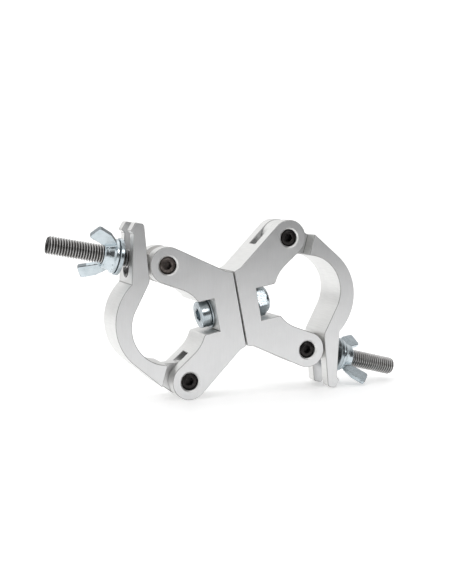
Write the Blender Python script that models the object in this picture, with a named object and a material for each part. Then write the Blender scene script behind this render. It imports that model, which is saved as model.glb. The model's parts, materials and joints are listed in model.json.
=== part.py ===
"""Swivel coupler for two round tubes.

Two hinged aluminium half clamps are bolted back to back on one swivel bolt.
Each half has a body, a hinged arm, two cross pins and an eye bolt with a washer
and a wing nut.  The assembly stands on the left body and on the tips of the
right arm.  Metres, +Z up, tube axes along Y.
"""
import math

import bmesh
import bpy
from mathutils import Matrix, Vector

MM = 0.001

# Driving dimensions of one half clamp.  x runs from the tube's centre towards
# the mating face, z towards the eye bolt, y along the tube.
TUBE_RADIUS = 25.0 * MM
WIDTH = 30.0 * MM
CENTRE_TO_MATING = 50.0 * MM
SEAM_GAP = 0.8 * MM
CLEARANCE = 0.3 * MM
EDGE_CHAMFER = 0.6 * MM

PIN_X = 6.8 * MM
PIN_Z = 38.9 * MM
CHEEK_RADIUS = 12.0 * MM
FORK_SLOT = 10.0 * MM
SLOT_END_FROM_PIN = 15.2 * MM
SLOT_END_ANGLE = 43.3

MATING_HALF_HEIGHT = 25.2 * MM
LAND_START_X = 44.8 * MM
LAND_HALF_HEIGHT = 26.8 * MM
POCKET_HALF_HEIGHT = 11.0 * MM
POCKET_FLOOR = {"left": 33.2 * MM, "right": 36.4 * MM}
POCKET_FILLET = 2.0 * MM

# Arm: an eccentric ring, a hinge tongue and a straight two-pronged end.
ARM_OUTER_RADIUS = 34.6 * MM
ARM_OUTER_CENTRE = (-0.5 * MM, 3.0 * MM)
ARM_INNER_END_ANGLE = 142.0
ARM_OUTER_END_ANGLE = 219.0
SHOULDER_OUTER = (-12.3 * MM, -37.4 * MM)
SHOULDER_INNER_ANGLE = 256.2
TONGUE_RADIUS = 11.7 * MM
TONGUE_THICKNESS = FORK_SLOT - 2.0 * CLEARANCE
TONGUE_INSET = 0.8 * MM
TONGUE_OVERLAP = 1.0 * MM
PRONG_KNEE = (-7.2 * MM, 31.4 * MM)
PRONG_KNEE_FILLET = 6.0 * MM
PRONG_TIP_INNER = (-3.8 * MM, 68.1 * MM)
PRONG_TIP_OUTER = (-9.2 * MM, 70.3 * MM)
LIP_CORNER = (-13.2 * MM, 65.7 * MM)
SEAT_TOP = (-11.6 * MM, 63.4 * MM)
SEAT_BOTTOM = (-19.2 * MM, 32.1 * MM)
PRONG_SLOT = 13.0 * MM
PRONG_SLOT_CENTRE_Z = 42.0 * MM
TIP_FILLET = 1.2 * MM

# Cross pins.
PIN_RADIUS = 5.55 * MM
PIN_HOLE_RADIUS = PIN_RADIUS + CLEARANCE
PIN_HOLE_CHAMFER = 1.1 * MM
PIN_RECESS = 1.0 * MM
PIN_END_CHAMFER = (1.7 * MM, 1.2 * MM)
PIN_SOCKET_FLATS = 5.0 * MM
PIN_SOCKET_DEPTH = 4.0 * MM

# Eye bolt, washer and wing nut, measured along the bolt from its eye.
THREAD_RADIUS = 6.0 * MM
BORE_RADIUS = THREAD_RADIUS + CLEARANCE
EYE_RADIUS = 11.7 * MM
EYE_THICKNESS = FORK_SLOT - 2.0 * CLEARANCE
SHANK_START = 12.6 * MM
NECK_LENGTH = 3.0 * MM
NECK_INSET = 0.8 * MM
BOLT_LENGTH = 76.0 * MM
BOLT_TIP_CHAMFER = 1.6 * MM
BOLT_TILT = {"left": 21.4, "right": 25.0}
WASHER_START = 28.4 * MM
WASHER_RADIUS = 12.0 * MM
WASHER_THICKNESS = 2.5 * MM
WASHER_CHAMFER = 0.3 * MM
NUT_BASE_RADIUS = 11.0 * MM
NUT_TOP_RADIUS = 8.4 * MM
NUT_FLANGE = 2.2 * MM
NUT_HEIGHT = 9.2 * MM
NUT_BASE_CHAMFER = 0.4 * MM
NUT_WAIST = (1.2 * MM, 1.0 * MM)
NUT_TOP_CHAMFER = 1.0 * MM
WING_THICKNESS = 3.0 * MM
WING_ROOT_SINK = 1.6 * MM
WING_UNDERSIDE = ((12.5 * MM, 3.0 * MM), (18.2 * MM, 8.2 * MM))
WING_TIP_OUTER = (22.8 * MM, 16.9 * MM)
WING_TIP_INNER = (13.7 * MM, 21.6 * MM)
WING_NOTCH = (8.6 * MM, 10.2 * MM)
WING_TIP_FILLET = 1.5 * MM
WING_CHAMFER = 0.6 * MM
WING_TURN = {"left": -42.0, "right": -48.5}

# Swivel bolt set, centred on the mating faces.
HEAD_RADIUS = 9.0 * MM
HEAD_HEIGHT = 6.4 * MM
HEAD_SOCKET_FLATS = 8.0 * MM
HEAD_SOCKET_DEPTH = 4.2 * MM
HEAD_CHAMFER = 0.7 * MM
SWIVEL_TIP_CHAMFER = 1.0 * MM
HEAD_WASHER_THICKNESS = 1.0 * MM
NUT_WASHER_THICKNESS = 1.2 * MM
FLAT_WASHER_RADIUS = 10.4 * MM
FLAT_WASHER_CHAMFER = 0.15 * MM
LOCK_NUT_FLATS = 19.0 * MM
LOCK_NUT_HEIGHT = 9.3 * MM
LOCK_NUT_TURN = 12.0
LOCK_NUT_COLLAR = 2.6 * MM
COLLAR_BASE_RADIUS = 9.2 * MM
COLLAR_TOP_RADIUS = 8.6 * MM
COLLAR_STRAIGHT = 0.8 * MM
COLLAR_OVERLAP = 1.0 * MM
INSERT_THICKNESS = 1.8 * MM
INSERT_RADIUS = 7.6 * MM
THRUST_WASHER_RADIUS = 12.0 * MM
THRUST_WASHER_THICKNESS = 1.6 * MM
THRUST_RECESS = 0.7 * MM

# Cutters run past the solid they cut by this much.
CUT_OVER = 2.0 * MM
SLOT_CUTTER_REACH = 45.0 * MM
SLOT_CUTTER_DEPTH = 60.0 * MM

ARC_STEP = 9.0
ROUND_SEGMENTS = 28


def clear_scene():
    for obj in list(bpy.data.objects):
        bpy.data.objects.remove(obj, do_unlink=True)


# ---------------------------------------------------------------- materials
def finish(name, colour, roughness, metallic):
    material = bpy.data.materials.new(name)
    material.use_nodes = True
    shader = material.node_tree.nodes["Principled BSDF"]
    shader.inputs["Base Color"].default_value = (*colour, 1.0)
    shader.inputs["Roughness"].default_value = roughness
    shader.inputs["Metallic"].default_value = metallic
    material.diffuse_color = (*colour, 1.0)
    return material


def satin_aluminium(name):
    return finish(name, (0.66, 0.66, 0.65), 0.42, 1.0)


def black_oxide(name):
    return finish(name, (0.016, 0.014, 0.014), 0.38, 0.6)


def plain_steel(name):
    return finish(name, (0.30, 0.29, 0.28), 0.34, 1.0)


def bright_zinc(name):
    return finish(name, (0.72, 0.77, 0.80), 0.22, 1.0)


def white_nylon(name):
    return finish(name, (0.78, 0.78, 0.74), 0.5, 0.0)


# ---------------------------------------------------------------- outlines
def polar(centre, radius, degrees):
    angle = math.radians(degrees)
    return (centre[0] + radius * math.cos(angle), centre[1] + radius * math.sin(angle))


def arc(centre, radius, start, end):
    """Points on a circle from start to end degrees, both ends included."""
    count = max(1, math.ceil(abs(end - start) / ARC_STEP))
    return [polar(centre, radius, start + (end - start) * i / count) for i in range(count + 1)]


def tangent_angle(centre, radius, point, side):
    """Angle on a circle where a line through point touches it; side is +1 or -1."""
    dx = point[0] - centre[0]
    dz = point[1] - centre[1]
    spread = math.acos(radius / math.hypot(dx, dz))
    return math.degrees(math.atan2(dz, dx) + side * spread)


def rounded(before, corner, after, radius):
    """A corner replaced by an arc that touches both of its edges."""
    corner = Vector(corner)
    back = (Vector(before) - corner).normalized()
    ahead = (Vector(after) - corner).normalized()
    half = back.angle(ahead) / 2.0
    centre = corner + (back + ahead).normalized() * radius / math.sin(half)
    first = corner + back * radius / math.tan(half) - centre
    last = corner + ahead * radius / math.tan(half) - centre
    start = math.degrees(math.atan2(first.y, first.x))
    turn = math.degrees(math.atan2(first.x * last.y - first.y * last.x, first.dot(last)))
    return arc(centre, radius, start, start + turn)


def mirrored(points):
    return [(x, -z) for x, z in reversed(points)]


def body_outline(side):
    pin = (PIN_X, PIN_Z)
    land = (LAND_START_X, LAND_HALF_HEIGHT)
    reach = math.hypot(PIN_X, PIN_Z)
    cradle_end = math.degrees(
        math.atan2(PIN_Z, PIN_X) - math.acos((TUBE_RADIUS + CHEEK_RADIUS) / reach)
    )
    flank_angle = tangent_angle(pin, CHEEK_RADIUS, land, 1)
    pocket_angle = math.degrees(math.asin(POCKET_HALF_HEIGHT / TUBE_RADIUS))
    mouth = polar((0.0, 0.0), TUBE_RADIUS, pocket_angle)
    near = polar((0.0, 0.0), TUBE_RADIUS, pocket_angle + ARC_STEP)
    floor = (POCKET_FLOOR[side], POCKET_HALF_HEIGHT)
    upper = [(CENTRE_TO_MATING - SEAM_GAP / 2.0, MATING_HALF_HEIGHT), land]
    upper += arc(pin, CHEEK_RADIUS, flank_angle, cradle_end + 180.0)
    upper += arc((0.0, 0.0), TUBE_RADIUS, cradle_end, pocket_angle + 2.0 * ARC_STEP)
    upper += rounded(near, mouth, floor, POCKET_FILLET)
    upper.append(floor)
    return upper + mirrored(upper)


def arm_outline():
    """The full-width part of the arm, from the hinge shoulder to the prong tips."""
    inner_start = polar((0.0, 0.0), TUBE_RADIUS, ARM_INNER_END_ANGLE)
    outer_start = math.degrees(
        math.atan2(SEAT_BOTTOM[1] - ARM_OUTER_CENTRE[1], SEAT_BOTTOM[0] - ARM_OUTER_CENTRE[0])
    )
    points = arc(ARM_OUTER_CENTRE, ARM_OUTER_RADIUS, outer_start, ARM_OUTER_END_ANGLE)
    points.append(SHOULDER_OUTER)
    points += arc((0.0, 0.0), TUBE_RADIUS, SHOULDER_INNER_ANGLE, ARM_INNER_END_ANGLE)
    points += rounded(inner_start, PRONG_KNEE, PRONG_TIP_INNER, PRONG_KNEE_FILLET)
    points += rounded(PRONG_KNEE, PRONG_TIP_INNER, PRONG_TIP_OUTER, 2.0 * TIP_FILLET)
    points += rounded(PRONG_TIP_INNER, PRONG_TIP_OUTER, LIP_CORNER, TIP_FILLET)
    points += [LIP_CORNER, SEAT_TOP]
    return points


def tongue_outline():
    """The hinge tongue, which runs a little way into the full-width arm."""
    pin = Vector((PIN_X, -PIN_Z))
    outer = Vector(SHOULDER_OUTER)
    inner = Vector(polar((0.0, 0.0), TUBE_RADIUS, SHOULDER_INNER_ANGLE))
    edge = (inner - outer).normalized()
    inward = Vector((-edge.y, edge.x))
    outer += edge * TONGUE_INSET
    inner -= edge * TONGUE_INSET
    first = tangent_angle(pin, TONGUE_RADIUS, outer, 1)
    last = tangent_angle(pin, TONGUE_RADIUS, inner, -1)
    points = arc(pin, TONGUE_RADIUS, first, last + 360.0)
    points.append(tuple(inner))
    points.append(tuple(inner + inward * TONGUE_OVERLAP))
    points.append(tuple(outer + inward * TONGUE_OVERLAP))
    points.append(tuple(outer))
    return points


# ---------------------------------------------------------------- solids
def add_object(name, bm, material=None, parent=None):
    bmesh.ops.recalc_face_normals(bm, faces=bm.faces)
    mesh = bpy.data.meshes.new(name)
    bm.to_mesh(mesh)
    bm.free()
    mesh.shade_smooth()
    mesh.set_sharp_from_angle(angle=math.radians(30.0))
    obj = bpy.data.objects.new(name, mesh)
    bpy.context.collection.objects.link(obj)
    obj.parent = parent
    if material:
        mesh.materials.append(material)
    return obj


def add_prism(bm, outline, half_width, chamfer=0.0):
    """An outline in x and z, extruded along y, with its end edges chamfered."""
    near = [bm.verts.new((x, -half_width, z)) for x, z in outline]
    far = [bm.verts.new((x, half_width, z)) for x, z in outline]
    ends = [bm.faces.new(near), bm.faces.new(far)]
    count = len(outline)
    for i in range(count):
        after = (i + 1) % count
        bm.faces.new((near[i], near[after], far[after], far[i]))
    bmesh.ops.recalc_face_normals(bm, faces=bm.faces)
    if chamfer:
        rim = list({edge for face in ends for edge in face.edges})
        bmesh.ops.bevel(bm, geom=rim, offset=chamfer, segments=1, affect="EDGES")


def add_turned(bm, profile, segments=ROUND_SEGMENTS):
    """A closed solid turned about z from (radius, height) points."""
    verts = [bm.verts.new((radius, 0.0, height)) for radius, height in profile]
    edges = [bm.edges.new(pair) for pair in zip(verts, verts[1:])]
    if profile[0][0] > 0.0:
        edges.append(bm.edges.new((verts[-1], verts[0])))
    bmesh.ops.spin(
        bm, geom=verts + edges, axis=(0.0, 0.0, 1.0), cent=(0.0, 0.0, 0.0),
        steps=segments, angle=2.0 * math.pi, use_duplicate=False,
    )
    bmesh.ops.remove_doubles(bm, verts=bm.verts, dist=0.01 * MM)
    bmesh.ops.recalc_face_normals(bm, faces=bm.faces)


def add_hexagon(bm, flats, start, end):
    """A hexagonal prism about z."""
    radius = flats / math.sqrt(3.0)
    made = bmesh.ops.create_cone(
        bm, cap_ends=True, segments=6, radius1=radius, radius2=radius, depth=end - start
    )
    bmesh.ops.translate(bm, verts=made["verts"], vec=(0.0, 0.0, (start + end) / 2.0))


def add_box(bm, size, centre, rotation=Matrix.Identity(3)):
    made = bmesh.ops.create_cube(bm, size=1.0)
    bmesh.ops.scale(bm, verts=made["verts"], vec=size)
    bmesh.ops.rotate(bm, verts=made["verts"], cent=(0.0, 0.0, 0.0), matrix=rotation)
    bmesh.ops.translate(bm, verts=made["verts"], vec=centre)


def solid_prism(name, outline, half_width, material, parent, chamfer=0.0):
    bm = bmesh.new()
    add_prism(bm, outline, half_width, chamfer)
    return add_object(name, bm, material, parent)


def solid_turned(name, profile, material, parent, segments=ROUND_SEGMENTS):
    bm = bmesh.new()
    add_turned(bm, profile, segments)
    return add_object(name, bm, material, parent)


def combine(target, bm, name, operation):
    """Joins or cuts a closed mesh to or from target with a Boolean modifier."""
    tool = add_object(name, bm, parent=target)
    tool.hide_render = True
    tool.display_type = "WIRE"
    boolean = target.modifiers.new(name, "BOOLEAN")
    boolean.operation = operation
    boolean.solver = "EXACT"
    boolean.object = tool


def turn_verts(bm, axis, degrees):
    bmesh.ops.rotate(
        bm, verts=bm.verts, cent=(0.0, 0.0, 0.0),
        matrix=Matrix.Rotation(math.radians(degrees), 3, axis),
    )


def empty(name, parent, location, turn_y=0.0):
    obj = bpy.data.objects.new(name, None)
    bpy.context.collection.objects.link(obj)
    obj.parent = parent
    obj.location = location
    obj.rotation_euler = (0.0, math.radians(turn_y), 0.0)
    return obj


def ring_profile(inner, outer, start, end, chamfer=0.0):
    return [
        (inner, start), (outer - chamfer, start), (outer, start + chamfer),
        (outer, end - chamfer), (outer - chamfer, end), (inner, end),
    ]


# ---------------------------------------------------------------- half clamp
def cut_fork_slots(body):
    bm = bmesh.new()
    length = 2.0 * CHEEK_RADIUS + SLOT_END_FROM_PIN
    for sign in (1.0, -1.0):
        turn = Matrix.Rotation(math.radians(sign * SLOT_END_ANGLE), 3, "Y")
        middle = Vector((PIN_X, 0.0, sign * PIN_Z))
        middle += turn @ Vector((SLOT_END_FROM_PIN - length / 2.0, 0.0, 0.0))
        add_box(bm, (length, FORK_SLOT, 2.0 * length), middle, turn)
    combine(body, bm, body.name + "_fork_slots", "DIFFERENCE")


def pin_hole_profile():
    face = WIDTH / 2.0
    wide = PIN_HOLE_RADIUS + PIN_HOLE_CHAMFER + CUT_OVER
    return [
        (0.0, -face - CUT_OVER), (wide, -face - CUT_OVER),
        (PIN_HOLE_RADIUS, -face + PIN_HOLE_CHAMFER),
        (PIN_HOLE_RADIUS, face - PIN_HOLE_CHAMFER),
        (wide, face + CUT_OVER), (0.0, face + CUT_OVER),
    ]


def cut_pin_holes(body):
    bm = bmesh.new()
    for sign in (1.0, -1.0):
        hole = bmesh.new()
        add_turned(hole, pin_hole_profile())
        turn_verts(hole, "X", 90.0)
        bmesh.ops.translate(hole, verts=hole.verts, vec=(PIN_X, 0.0, sign * PIN_Z))
        mesh = bpy.data.meshes.new("pin_hole")
        hole.to_mesh(mesh)
        hole.free()
        bm.from_mesh(mesh)
        bpy.data.meshes.remove(mesh)
    combine(body, bm, body.name + "_pin_holes", "DIFFERENCE")


def cut_swivel_bore(body, side):
    mating = CENTRE_TO_MATING - SEAM_GAP / 2.0
    recess = mating - THRUST_RECESS
    start = POCKET_FLOOR[side] - CUT_OVER
    wide = THRUST_WASHER_RADIUS + CLEARANCE
    bm = bmesh.new()
    add_turned(bm, [
        (0.0, start), (BORE_RADIUS, start), (BORE_RADIUS, recess), (wide, recess),
        (wide, mating + CUT_OVER), (0.0, mating + CUT_OVER),
    ])
    turn_verts(bm, "Y", 90.0)
    combine(body, bm, body.name + "_swivel_bore", "DIFFERENCE")


def make_body(side, half):
    name = side + "_body"
    material = satin_aluminium(name)
    body = solid_prism(name, body_outline(side), WIDTH / 2.0, material, half, EDGE_CHAMFER)
    cut_fork_slots(body)
    cut_pin_holes(body)
    cut_swivel_bore(body, side)


def through_hole():
    """A plain cylinder across the clamp, for the hole a cross pin runs in."""
    bm = bmesh.new()
    add_turned(bm, [(0.0, -WIDTH), (PIN_HOLE_RADIUS, -WIDTH), (PIN_HOLE_RADIUS, WIDTH), (0.0, WIDTH)])
    turn_verts(bm, "X", 90.0)
    return bm


def make_arm(side, hinge):
    """The arm's origin is on its hinge pin, so its shape is shifted there."""
    name = side + "_arm"
    shift = (-PIN_X, 0.0, PIN_Z)
    bm = bmesh.new()
    add_prism(bm, arm_outline(), WIDTH / 2.0, EDGE_CHAMFER)
    bmesh.ops.translate(bm, verts=bm.verts, vec=shift)
    arm = add_object(name, bm, satin_aluminium(name), hinge)
    bm = bmesh.new()
    add_prism(bm, tongue_outline(), TONGUE_THICKNESS / 2.0)
    bmesh.ops.translate(bm, verts=bm.verts, vec=shift)
    combine(arm, bm, name + "_tongue", "UNION")
    combine(arm, through_hole(), name + "_pin_hole", "DIFFERENCE")
    combine(arm, prong_slot_cutter(shift), name + "_prong_slot", "DIFFERENCE")


def prong_slot_cutter(shift):
    """An open-ended slot with a round bottom, square to the washer seat."""
    radius = PRONG_SLOT / 2.0
    outline = arc((0.0, 0.0), radius, 180.0, 360.0)
    outline += [(radius, SLOT_CUTTER_REACH), (-radius, SLOT_CUTTER_REACH)]
    bm = bmesh.new()
    add_prism(bm, outline, SLOT_CUTTER_DEPTH / 2.0)
    turn_verts(bm, "Z", 90.0)
    lean = math.degrees(math.atan2(SEAT_TOP[0] - SEAT_BOTTOM[0], SEAT_TOP[1] - SEAT_BOTTOM[1]))
    turn_verts(bm, "Y", lean)
    on_seat = SEAT_BOTTOM[0] + (PRONG_SLOT_CENTRE_Z - SEAT_BOTTOM[1]) * math.tan(math.radians(lean))
    bmesh.ops.translate(bm, verts=bm.verts, vec=(on_seat, 0.0, PRONG_SLOT_CENTRE_Z))
    bmesh.ops.translate(bm, verts=bm.verts, vec=shift)
    return bm


def make_pin(name, parent, sign):
    """A cross pin with a hexagon socket in its near end."""
    half = WIDTH / 2.0 - PIN_RECESS
    narrow = PIN_RADIUS - PIN_END_CHAMFER[0]
    profile = [
        (0.0, -half), (narrow, -half), (PIN_RADIUS, -half + PIN_END_CHAMFER[1]),
        (PIN_RADIUS, half - PIN_END_CHAMFER[1]), (narrow, half), (0.0, half),
    ]
    pin = solid_turned(name, profile, black_oxide(name), parent)
    pin.location = (PIN_X, 0.0, sign * PIN_Z)
    pin.rotation_euler = (math.radians(90.0), 0.0, 0.0)
    bm = bmesh.new()
    add_hexagon(bm, PIN_SOCKET_FLATS, half - PIN_SOCKET_DEPTH, half + PIN_RECESS)
    combine(pin, bm, name + "_socket", "DIFFERENCE")


def make_eye_bolt(side, parent):
    name = side + "_eye_bolt"
    profile = [
        (0.0, SHANK_START), (THREAD_RADIUS, SHANK_START),
        (THREAD_RADIUS, BOLT_LENGTH - BOLT_TIP_CHAMFER),
        (THREAD_RADIUS - BOLT_TIP_CHAMFER, BOLT_LENGTH), (0.0, BOLT_LENGTH),
    ]
    bolt = solid_turned(name, profile, plain_steel(name), parent)
    half_neck = THREAD_RADIUS - NECK_INSET
    neck_end = SHANK_START + NECK_LENGTH
    spread = math.degrees(math.acos(half_neck / EYE_RADIUS))
    outline = arc((0.0, 0.0), EYE_RADIUS, 180.0 - spread, 360.0 + spread)
    outline += [(half_neck, neck_end), (-half_neck, neck_end)]
    bm = bmesh.new()
    add_prism(bm, outline, EYE_THICKNESS / 2.0)
    combine(bolt, bm, name + "_eye", "UNION")
    combine(bolt, through_hole(), name + "_eye_hole", "DIFFERENCE")


def make_washer(side, parent):
    name = side + "_washer"
    profile = ring_profile(BORE_RADIUS, WASHER_RADIUS, 0.0, WASHER_THICKNESS, WASHER_CHAMFER)
    solid_turned(name, profile, bright_zinc(name), parent)


def wing_outline(sign):
    """One wing in the plane of the bolt, leaning away from the clamp."""
    root = THREAD_RADIUS + WING_ROOT_SINK
    points = [(root, WING_ROOT_SINK), *WING_UNDERSIDE]
    points += rounded(points[-1], WING_TIP_OUTER, WING_TIP_INNER, WING_TIP_FILLET)
    points += rounded(WING_TIP_OUTER, WING_TIP_INNER, WING_NOTCH, WING_TIP_FILLET)
    points += [WING_NOTCH, (root, NUT_HEIGHT - WING_ROOT_SINK)]
    return [(sign * x, z) for x, z in points]


def make_wing_nut(side, parent):
    name = side + "_wing_nut"
    profile = [
        (BORE_RADIUS, 0.0), (NUT_BASE_RADIUS - NUT_BASE_CHAMFER, 0.0),
        (NUT_BASE_RADIUS, NUT_BASE_CHAMFER), (NUT_BASE_RADIUS, NUT_FLANGE),
        (NUT_BASE_RADIUS - NUT_WAIST[0], NUT_FLANGE + NUT_WAIST[1]),
        (NUT_TOP_RADIUS, NUT_HEIGHT - NUT_TOP_CHAMFER),
        (NUT_TOP_RADIUS - NUT_TOP_CHAMFER, NUT_HEIGHT), (BORE_RADIUS, NUT_HEIGHT),
    ]
    nut = solid_turned(name, profile, bright_zinc(name), parent)
    nut.rotation_euler = (0.0, 0.0, math.radians(WING_TURN[side]))
    bm = bmesh.new()
    for sign in (1.0, -1.0):
        add_prism(bm, wing_outline(sign), WING_THICKNESS / 2.0, WING_CHAMFER)
    combine(nut, bm, name + "_wings", "UNION")


def make_half(side, assembly):
    """One half clamp; the right half is the left one turned over about y."""
    left = side == "left"
    offset = -CENTRE_TO_MATING if left else CENTRE_TO_MATING
    half = empty(side + "_half", assembly, (offset, 0.0, 0.0), 0.0 if left else 180.0)
    make_body(side, half)
    make_pin(side + "_hinge_pin", half, -1.0)
    make_pin(side + "_bolt_pin", half, 1.0)
    hinge = empty(side + "_hinge", half, (PIN_X, 0.0, -PIN_Z))
    make_arm(side, hinge)
    bolt_axis = empty(side + "_bolt_axis", half, (PIN_X, 0.0, PIN_Z), BOLT_TILT[side] - 90.0)
    make_eye_bolt(side, bolt_axis)
    washer_place = empty(side + "_washer_place", bolt_axis, (0.0, 0.0, WASHER_START))
    make_washer(side, washer_place)
    nut_start = WASHER_THICKNESS + CLEARANCE
    nut_place = empty(side + "_nut_place", washer_place, (0.0, 0.0, nut_start))
    make_wing_nut(side, nut_place)


# ---------------------------------------------------------------- swivel bolt set
def make_swivel_bolt(axis, head_base, tip):
    name = "swivel_bolt"
    head_top = head_base - HEAD_HEIGHT
    profile = [
        (0.0, head_top), (HEAD_RADIUS - HEAD_CHAMFER, head_top),
        (HEAD_RADIUS, head_top + HEAD_CHAMFER), (HEAD_RADIUS, head_base),
        (THREAD_RADIUS, head_base), (THREAD_RADIUS, tip - SWIVEL_TIP_CHAMFER),
        (THREAD_RADIUS - SWIVEL_TIP_CHAMFER, tip), (0.0, tip),
    ]
    bolt = solid_turned(name, profile, bright_zinc(name), axis)
    bm = bmesh.new()
    add_hexagon(bm, HEAD_SOCKET_FLATS, head_top - HEAD_HEIGHT, head_top + HEAD_SOCKET_DEPTH)
    combine(bolt, bm, name + "_socket", "DIFFERENCE")


def make_lock_nut(axis, base):
    """A hexagon nut with a round collar that holds a nylon ring."""
    name = "swivel_lock_nut"
    top = base + LOCK_NUT_HEIGHT
    hexagon_top = top - LOCK_NUT_COLLAR
    bm = bmesh.new()
    add_hexagon(bm, LOCK_NUT_FLATS, base, hexagon_top)
    turn_verts(bm, "Z", LOCK_NUT_TURN)
    nut = add_object(name, bm, bright_zinc(name), axis)
    bm = bmesh.new()
    add_turned(bm, [
        (0.0, hexagon_top - COLLAR_OVERLAP), (COLLAR_BASE_RADIUS, hexagon_top - COLLAR_OVERLAP),
        (COLLAR_BASE_RADIUS, hexagon_top + COLLAR_STRAIGHT), (COLLAR_TOP_RADIUS, top), (0.0, top),
    ])
    combine(nut, bm, name + "_collar", "UNION")
    bm = bmesh.new()
    seat = top - INSERT_THICKNESS - 2.0 * CLEARANCE
    add_turned(bm, [
        (0.0, base - CUT_OVER), (BORE_RADIUS, base - CUT_OVER), (BORE_RADIUS, seat),
        (INSERT_RADIUS, seat), (INSERT_RADIUS, top + CUT_OVER), (0.0, top + CUT_OVER),
    ])
    combine(nut, bm, name + "_bore", "DIFFERENCE")
    insert = "swivel_nut_insert"
    profile = ring_profile(
        BORE_RADIUS, INSERT_RADIUS - CLEARANCE, seat + CLEARANCE, seat + CLEARANCE + INSERT_THICKNESS
    )
    solid_turned(insert, profile, white_nylon(insert), axis)


def make_flat_washer(name, axis, start, thickness, radius=FLAT_WASHER_RADIUS):
    profile = ring_profile(BORE_RADIUS, radius, start, start + thickness, FLAT_WASHER_CHAMFER)
    solid_turned(name, profile, bright_zinc(name), axis)


def make_swivel_set(assembly):
    """Bolt, nut and washers on the swivel axis, from the left pocket to the right."""
    axis = empty("swivel_axis", assembly, (0.0, 0.0, 0.0), 90.0)
    left_floor = POCKET_FLOOR["left"] - CENTRE_TO_MATING
    right_floor = CENTRE_TO_MATING - POCKET_FLOOR["right"]
    head_washer = left_floor - CLEARANCE - HEAD_WASHER_THICKNESS
    nut_washer = right_floor + CLEARANCE
    nut_base = nut_washer + NUT_WASHER_THICKNESS + CLEARANCE
    make_swivel_bolt(axis, head_washer - CLEARANCE, nut_base + LOCK_NUT_HEIGHT - CLEARANCE)
    make_flat_washer("swivel_head_washer", axis, head_washer, HEAD_WASHER_THICKNESS)
    make_flat_washer("swivel_nut_washer", axis, nut_washer, NUT_WASHER_THICKNESS)
    make_lock_nut(axis, nut_base)
    make_flat_washer(
        "swivel_thrust_washer", axis, -THRUST_WASHER_THICKNESS / 2.0,
        THRUST_WASHER_THICKNESS, THRUST_WASHER_RADIUS,
    )


# ---------------------------------------------------------------- standing pose
def standing_angle():
    """Lean about y at which the left cheek and the right prong tips touch the floor.

    The left cheek is a circle about its hinge pin; the tip is the rounded outer
    corner of the right arm's prongs, which points down because that half is
    turned over.
    """
    cheek = Vector((-CENTRE_TO_MATING + PIN_X, -PIN_Z))
    tip = Vector((CENTRE_TO_MATING - PRONG_TIP_OUTER[0], -PRONG_TIP_OUTER[1]))
    run = tip - cheek
    slope = math.asin(CHEEK_RADIUS / run.length)
    return math.degrees(-math.atan2(run.y, run.x) - slope)


def stand_on_floor(assembly):
    """Puts the middle of the assembly's footprint at the origin, its lowest point at z = 0."""
    bpy.context.view_layer.update()
    graph = bpy.context.evaluated_depsgraph_get()
    points = []
    for obj in bpy.data.objects:
        if obj.type == "MESH" and not obj.hide_render:
            solid = obj.evaluated_get(graph)
            points += [solid.matrix_world @ vert.co for vert in solid.data.vertices]
    low = [min(point[axis] for point in points) for axis in range(3)]
    high = [max(point[axis] for point in points) for axis in range(3)]
    assembly.location -= Vector(((low[0] + high[0]) / 2.0, (low[1] + high[1]) / 2.0, low[2]))


def main():
    clear_scene()
    assembly = empty("assembly", None, (0.0, 0.0, 0.0), -standing_angle())
    for side in ("left", "right"):
        make_half(side, assembly)
    make_swivel_set(assembly)
    stand_on_floor(assembly)


main()
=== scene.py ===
"""Looks for the swivel tube clamp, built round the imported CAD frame.

Each half clamp is drawn in its own frame: origin on the tube's centre, x towards
the mating face, z towards the eye bolt, y along the tube.  Shapes are stated in
millimetres and degrees and made in metres; materials are stated in metres.
"""
import json
import math

import bmesh
import bpy
import numpy as np
from mathutils import Matrix, Vector


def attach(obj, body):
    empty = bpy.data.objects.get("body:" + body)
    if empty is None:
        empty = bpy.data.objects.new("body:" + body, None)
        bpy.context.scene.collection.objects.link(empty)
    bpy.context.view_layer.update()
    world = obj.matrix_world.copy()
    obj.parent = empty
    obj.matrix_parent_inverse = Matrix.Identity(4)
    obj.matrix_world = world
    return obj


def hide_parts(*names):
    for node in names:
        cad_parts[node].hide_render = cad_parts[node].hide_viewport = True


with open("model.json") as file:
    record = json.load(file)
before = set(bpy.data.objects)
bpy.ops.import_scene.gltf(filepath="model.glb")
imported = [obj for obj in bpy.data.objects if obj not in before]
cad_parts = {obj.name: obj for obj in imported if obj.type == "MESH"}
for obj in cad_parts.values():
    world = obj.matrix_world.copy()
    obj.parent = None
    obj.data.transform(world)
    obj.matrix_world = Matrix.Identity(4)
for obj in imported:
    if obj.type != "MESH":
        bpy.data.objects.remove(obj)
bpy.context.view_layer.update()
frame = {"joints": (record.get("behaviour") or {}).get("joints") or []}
JOINTS = {joint["name"]: joint for joint in frame["joints"]}
SIDES = ("left", "right")
MM = 0.001

# ------------------------------------------------------------ body
TUBE_RADIUS = 25.0
WIDTH = 30.0
CENTRE_TO_MATING = 50.0
SEAM_GAP = 0.8
PIN_X = 6.8
PIN_Z = 38.9
CHEEK_RADIUS = 11.96
FORK_SLOT = 10.0
SLOT_END_FROM_PIN = 15.2
SLOT_END_ANGLE = 43.3
MATING_HALF_HEIGHT = 25.2
LAND = (44.8, 26.8)
POCKET_HALF_HEIGHT = 11.0
POCKET_FLOOR = {"left": 33.2, "right": 36.4}
POCKET_FILLET = 2.0
FILLET_TANGENT_TURN = 9.0  # on the bore, from the pocket's mouth
CRADLE_STOP_TURN = 10.0
SWIVEL_BORE_START = 31.0
RECESS_RADIUS = 12.3
RECESS_DEPTH = 0.7
PIN_HOLE_RADIUS = 5.85
PIN_HOLE_CHAMFER = 1.0
EDGE_CHAMFER = 0.38

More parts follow.
